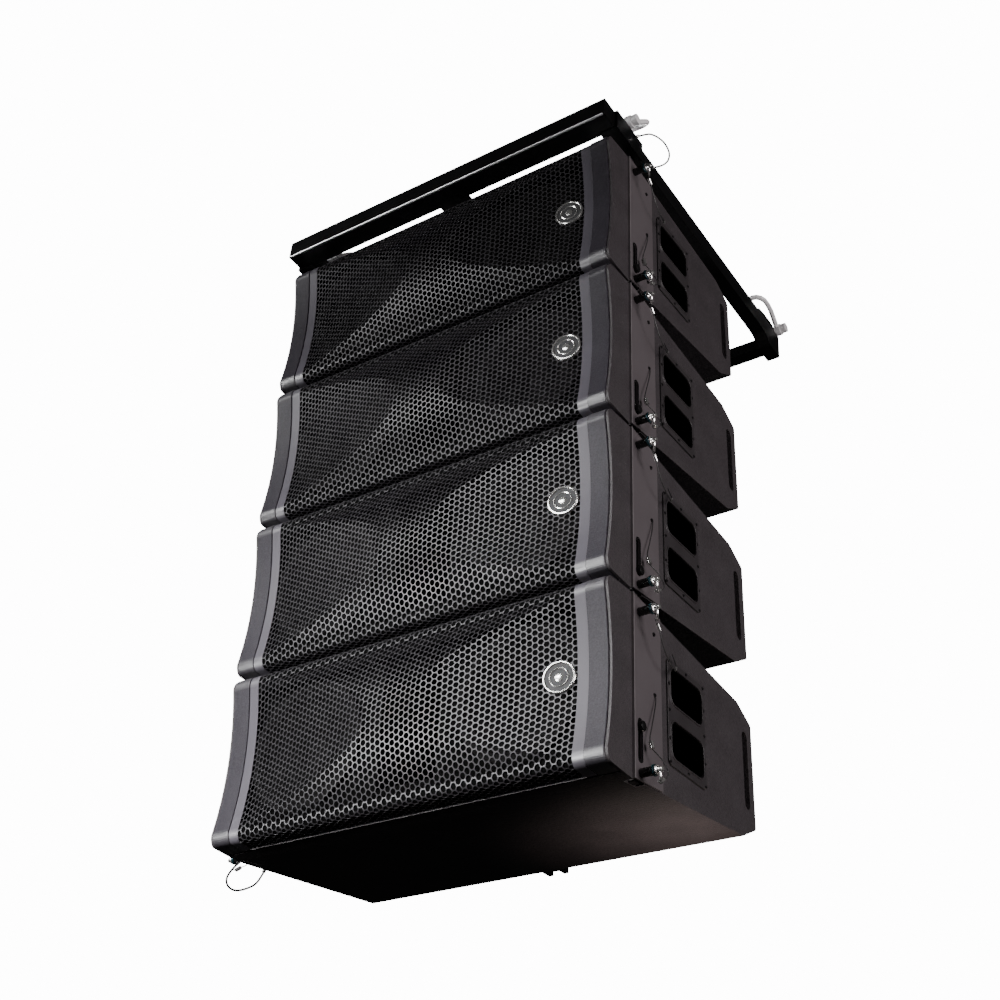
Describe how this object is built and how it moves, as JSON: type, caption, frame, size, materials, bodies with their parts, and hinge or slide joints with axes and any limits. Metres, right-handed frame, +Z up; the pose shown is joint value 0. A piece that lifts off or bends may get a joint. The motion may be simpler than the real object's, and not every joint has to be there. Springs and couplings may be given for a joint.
{
  "type": "line array speaker",
  "caption": "Flown loudspeaker line array: stacked two-way cabinets with sculpted perforated grilles, side link rigging and rear splay arms, hung from a welded flying frame with shackles.",
  "frame": {"origin": "middle of the flat top of the flying frame's spine", "axes": "+Z up along the array, +X to the array's own right-hand side in the front view, -Y the way the grilles face"},
  "size_m": [0.747, 0.6978, 1.3],
  "materials": {
    "enclosure_coating": "textured black coating on plywood",
    "front_moulding": "fine-grained dark grey moulding",
    "grille_steel": "perforated steel, dark grey satin powder coat",
    "woofer_black": "cast basket with a black paper cone",
    "rigging_plate": "satin dark grey paint",
    "link_steel": "satin black steel",
    "pin_steel": "bright steel pin with a black body",
    "rear_steel": "satin black steel",
    "frame_paint": "semi-gloss black paint",
    "shackle_zinc": "bright zinc plate",
    "lanyard_wire": "black sheathed wire"
  },
  "bodies": {
    "flying_frame": {"flying_frame": "frame_paint", "lanyard_frame": "lanyard_wire"},
    "cabinet_1": {"enclosure_1": "enclosure_coating", "baffle_1": "front_moulding", "grille_1": "grille_steel", "rear_channel_1": "rear_steel", "woofer_right_1": "woofer_black", "side_plate_right_1": "rigging_plate", "link_right_1": "link_steel", "woofer_left_1": "woofer_black", "side_plate_left_1": "rigging_plate", "link_left_1": "link_steel"},
    "rear_arm_1": {"rear_arm_1": "rear_steel"},
    "lock_pin_right_1": {"lock_pin_right_1": "pin_steel"},
    "lock_pin_left_1": {"lock_pin_left_1": "pin_steel"},
    "cabinet_2": {"enclosure_2": "enclosure_coating", "baffle_2": "front_moulding", "grille_2": "grille_steel", "rear_channel_2": "rear_steel", "woofer_right_2": "woofer_black", "side_plate_right_2": "rigging_plate", "link_right_2": "link_steel", "woofer_left_2": "woofer_black", "side_plate_left_2": "rigging_plate", "link_left_2": "link_steel"},
    "rear_arm_2": {"rear_arm_2": "rear_steel"},
    "lock_pin_right_2": {"lock_pin_right_2": "pin_steel"},
    "lock_pin_left_2": {"lock_pin_left_2": "pin_steel"},
    "cabinet_3": {"enclosure_3": "enclosure_coating", "baffle_3": "front_moulding", "grille_3": "grille_steel", "rear_channel_3": "rear_steel", "woofer_right_3": "woofer_black", "side_plate_right_3": "rigging_plate", "link_right_3": "link_steel", "woofer_left_3": "woofer_black", "side_plate_left_3": "rigging_plate", "link_left_3": "link_steel"},
    "rear_arm_3": {"rear_arm_3": "rear_steel"},
    "lock_pin_right_3": {"lock_pin_right_3": "pin_steel"},
    "lock_pin_left_3": {"lock_pin_left_3": "pin_steel"},
    "cabinet_4": {"enclosure_4": "enclosure_coating", "baffle_4": "front_moulding", "grille_4": "grille_steel", "rear_channel_4": "rear_steel", "woofer_right_4": "woofer_black", "side_plate_right_4": "rigging_plate", "link_right_4": "link_steel", "woofer_left_4": "woofer_black", "side_plate_left_4": "rigging_plate", "link_left_4": "link_steel", "lanyard_cabinet": "lanyard_wire"},
    "rear_arm_4": {"rear_arm_4": "rear_steel"},
    "lock_pin_right_4": {"lock_pin_right_4": "pin_steel"},
    "lock_pin_left_4": {"lock_pin_left_4": "pin_steel"},
    "shackle_front_right": {"shackle_front_right": "shackle_zinc"},
    "shackle_front_left": {"shackle_front_left": "shackle_zinc"},
    "shackle_rear_right": {"shackle_rear_right": "shackle_zinc"},
    "shackle_rear_left": {"shackle_rear_left": "shackle_zinc"}
  },
  "joints": [
    {"name": "splay_1", "type": "hinge", "parent": "flying_frame", "child": "cabinet_1", "pos_m": [0, -0.1507, -0.07413], "axis": [1, 0, 0], "range_deg": [0, 3]},
    {"name": "rear_arm_slide_1", "type": "slide", "parent": "cabinet_1", "child": "rear_arm_1", "axis": [0, 0, 1], "range_m": [-0.02, 0]},
    {"name": "lock_pin_right_1_pull", "type": "slide", "parent": "cabinet_1", "child": "lock_pin_right_1", "axis": [1, 0, 0], "range_m": [0, 0.045]},
    {"name": "lock_pin_left_1_pull", "type": "slide", "parent": "cabinet_1", "child": "lock_pin_left_1", "axis": [-1, 0, 0], "range_m": [0, 0.045]},
    {"name": "splay_2", "type": "hinge", "parent": "cabinet_1", "child": "cabinet_2", "pos_m": [0, -0.1507, -0.35473], "axis": [1, 0, 0], "range_deg": [0, 10]},
    {"name": "rear_arm_slide_2", "type": "slide", "parent": "cabinet_2", "child": "rear_arm_2", "axis": [0, 0, 1], "range_m": [-0.062, 0]},
    {"name": "lock_pin_right_2_pull", "type": "slide", "parent": "cabinet_2", "child": "lock_pin_right_2", "axis": [1, 0, 0], "range_m": [0, 0.045]},
    {"name": "lock_pin_left_2_pull", "type": "slide", "parent": "cabinet_2", "child": "lock_pin_left_2", "axis": [-1, 0, 0], "range_m": [0, 0.045]},
    {"name": "splay_3", "type": "hinge", "parent": "cabinet_2", "child": "cabinet_3", "pos_m": [0, -0.1507, -0.63533], "axis": [1, 0, 0], "range_deg": [0, 10]},
    {"name": "rear_arm_slide_3", "type": "slide", "parent": "cabinet_3", "child": "rear_arm_3", "axis": [0, 0, 1], "range_m": [-0.062, 0]},
    {"name": "lock_pin_right_3_pull", "type": "slide", "parent": "cabinet_3", "child": "lock_pin_right_3", "axis": [1, 0, 0], "range_m": [0, 0.045]},
    {"name": "lock_pin_left_3_pull", "type": "slide", "parent": "cabinet_3", "child": "lock_pin_left_3", "axis": [-1, 0, 0], "range_m": [0, 0.045]},
    {"name": "splay_4", "type": "hinge", "parent": "cabinet_3", "child": "cabinet_4", "pos_m": [0, -0.1507, -0.91593], "axis": [1, 0, 0], "range_deg": [0, 10]},
    {"name": "rear_arm_slide_4", "type": "slide", "parent": "cabinet_4", "child": "rear_arm_4", "axis": [0, 0, 1], "range_m": [-0.062, 0]},
    {"name": "lock_pin_right_4_pull", "type": "slide", "parent": "cabinet_4", "child": "lock_pin_right_4", "axis": [1, 0, 0], "range_m": [0, 0.045]},
    {"name": "lock_pin_left_4_pull", "type": "slide", "parent": "cabinet_4", "child": "lock_pin_left_4", "axis": [-1, 0, 0], "range_m": [0, 0.045]},
    {"name": "shackle_front_right_swing", "type": "hinge", "parent": "flying_frame", "child": "shackle_front_right", "pos_m": [0.328, -0.16867, 0.02846], "axis": [1, 0, 0], "range_deg": [-40, 100]},
    {"name": "shackle_front_left_swing", "type": "hinge", "parent": "flying_frame", "child": "shackle_front_left", "pos_m": [-0.328, -0.16867, 0.02846], "axis": [1, 0, 0], "range_deg": [-40, 100]},
    {"name": "shackle_rear_right_swing", "type": "hinge", "parent": "flying_frame", "child": "shackle_rear_right", "pos_m": [0.328, 0.42212, -0.00958], "axis": [-1, 0, 0], "range_deg": [0, 95]},
    {"name": "shackle_rear_left_swing", "type": "hinge", "parent": "flying_frame", "child": "shackle_rear_left", "pos_m": [-0.328, 0.42212, -0.00958], "axis": [-1, 0, 0], "range_deg": [0, 95]}
  ],
  "couplings": [
    {"joint": "rear_arm_slide_1", "follows": "splay_1", "m_per_rad": -0.338},
    {"joint": "rear_arm_slide_2", "follows": "splay_2", "m_per_rad": -0.34},
    {"joint": "rear_arm_slide_3", "follows": "splay_3", "m_per_rad": -0.34},
    {"joint": "rear_arm_slide_4", "follows": "splay_4", "m_per_rad": -0.34}
  ]
}
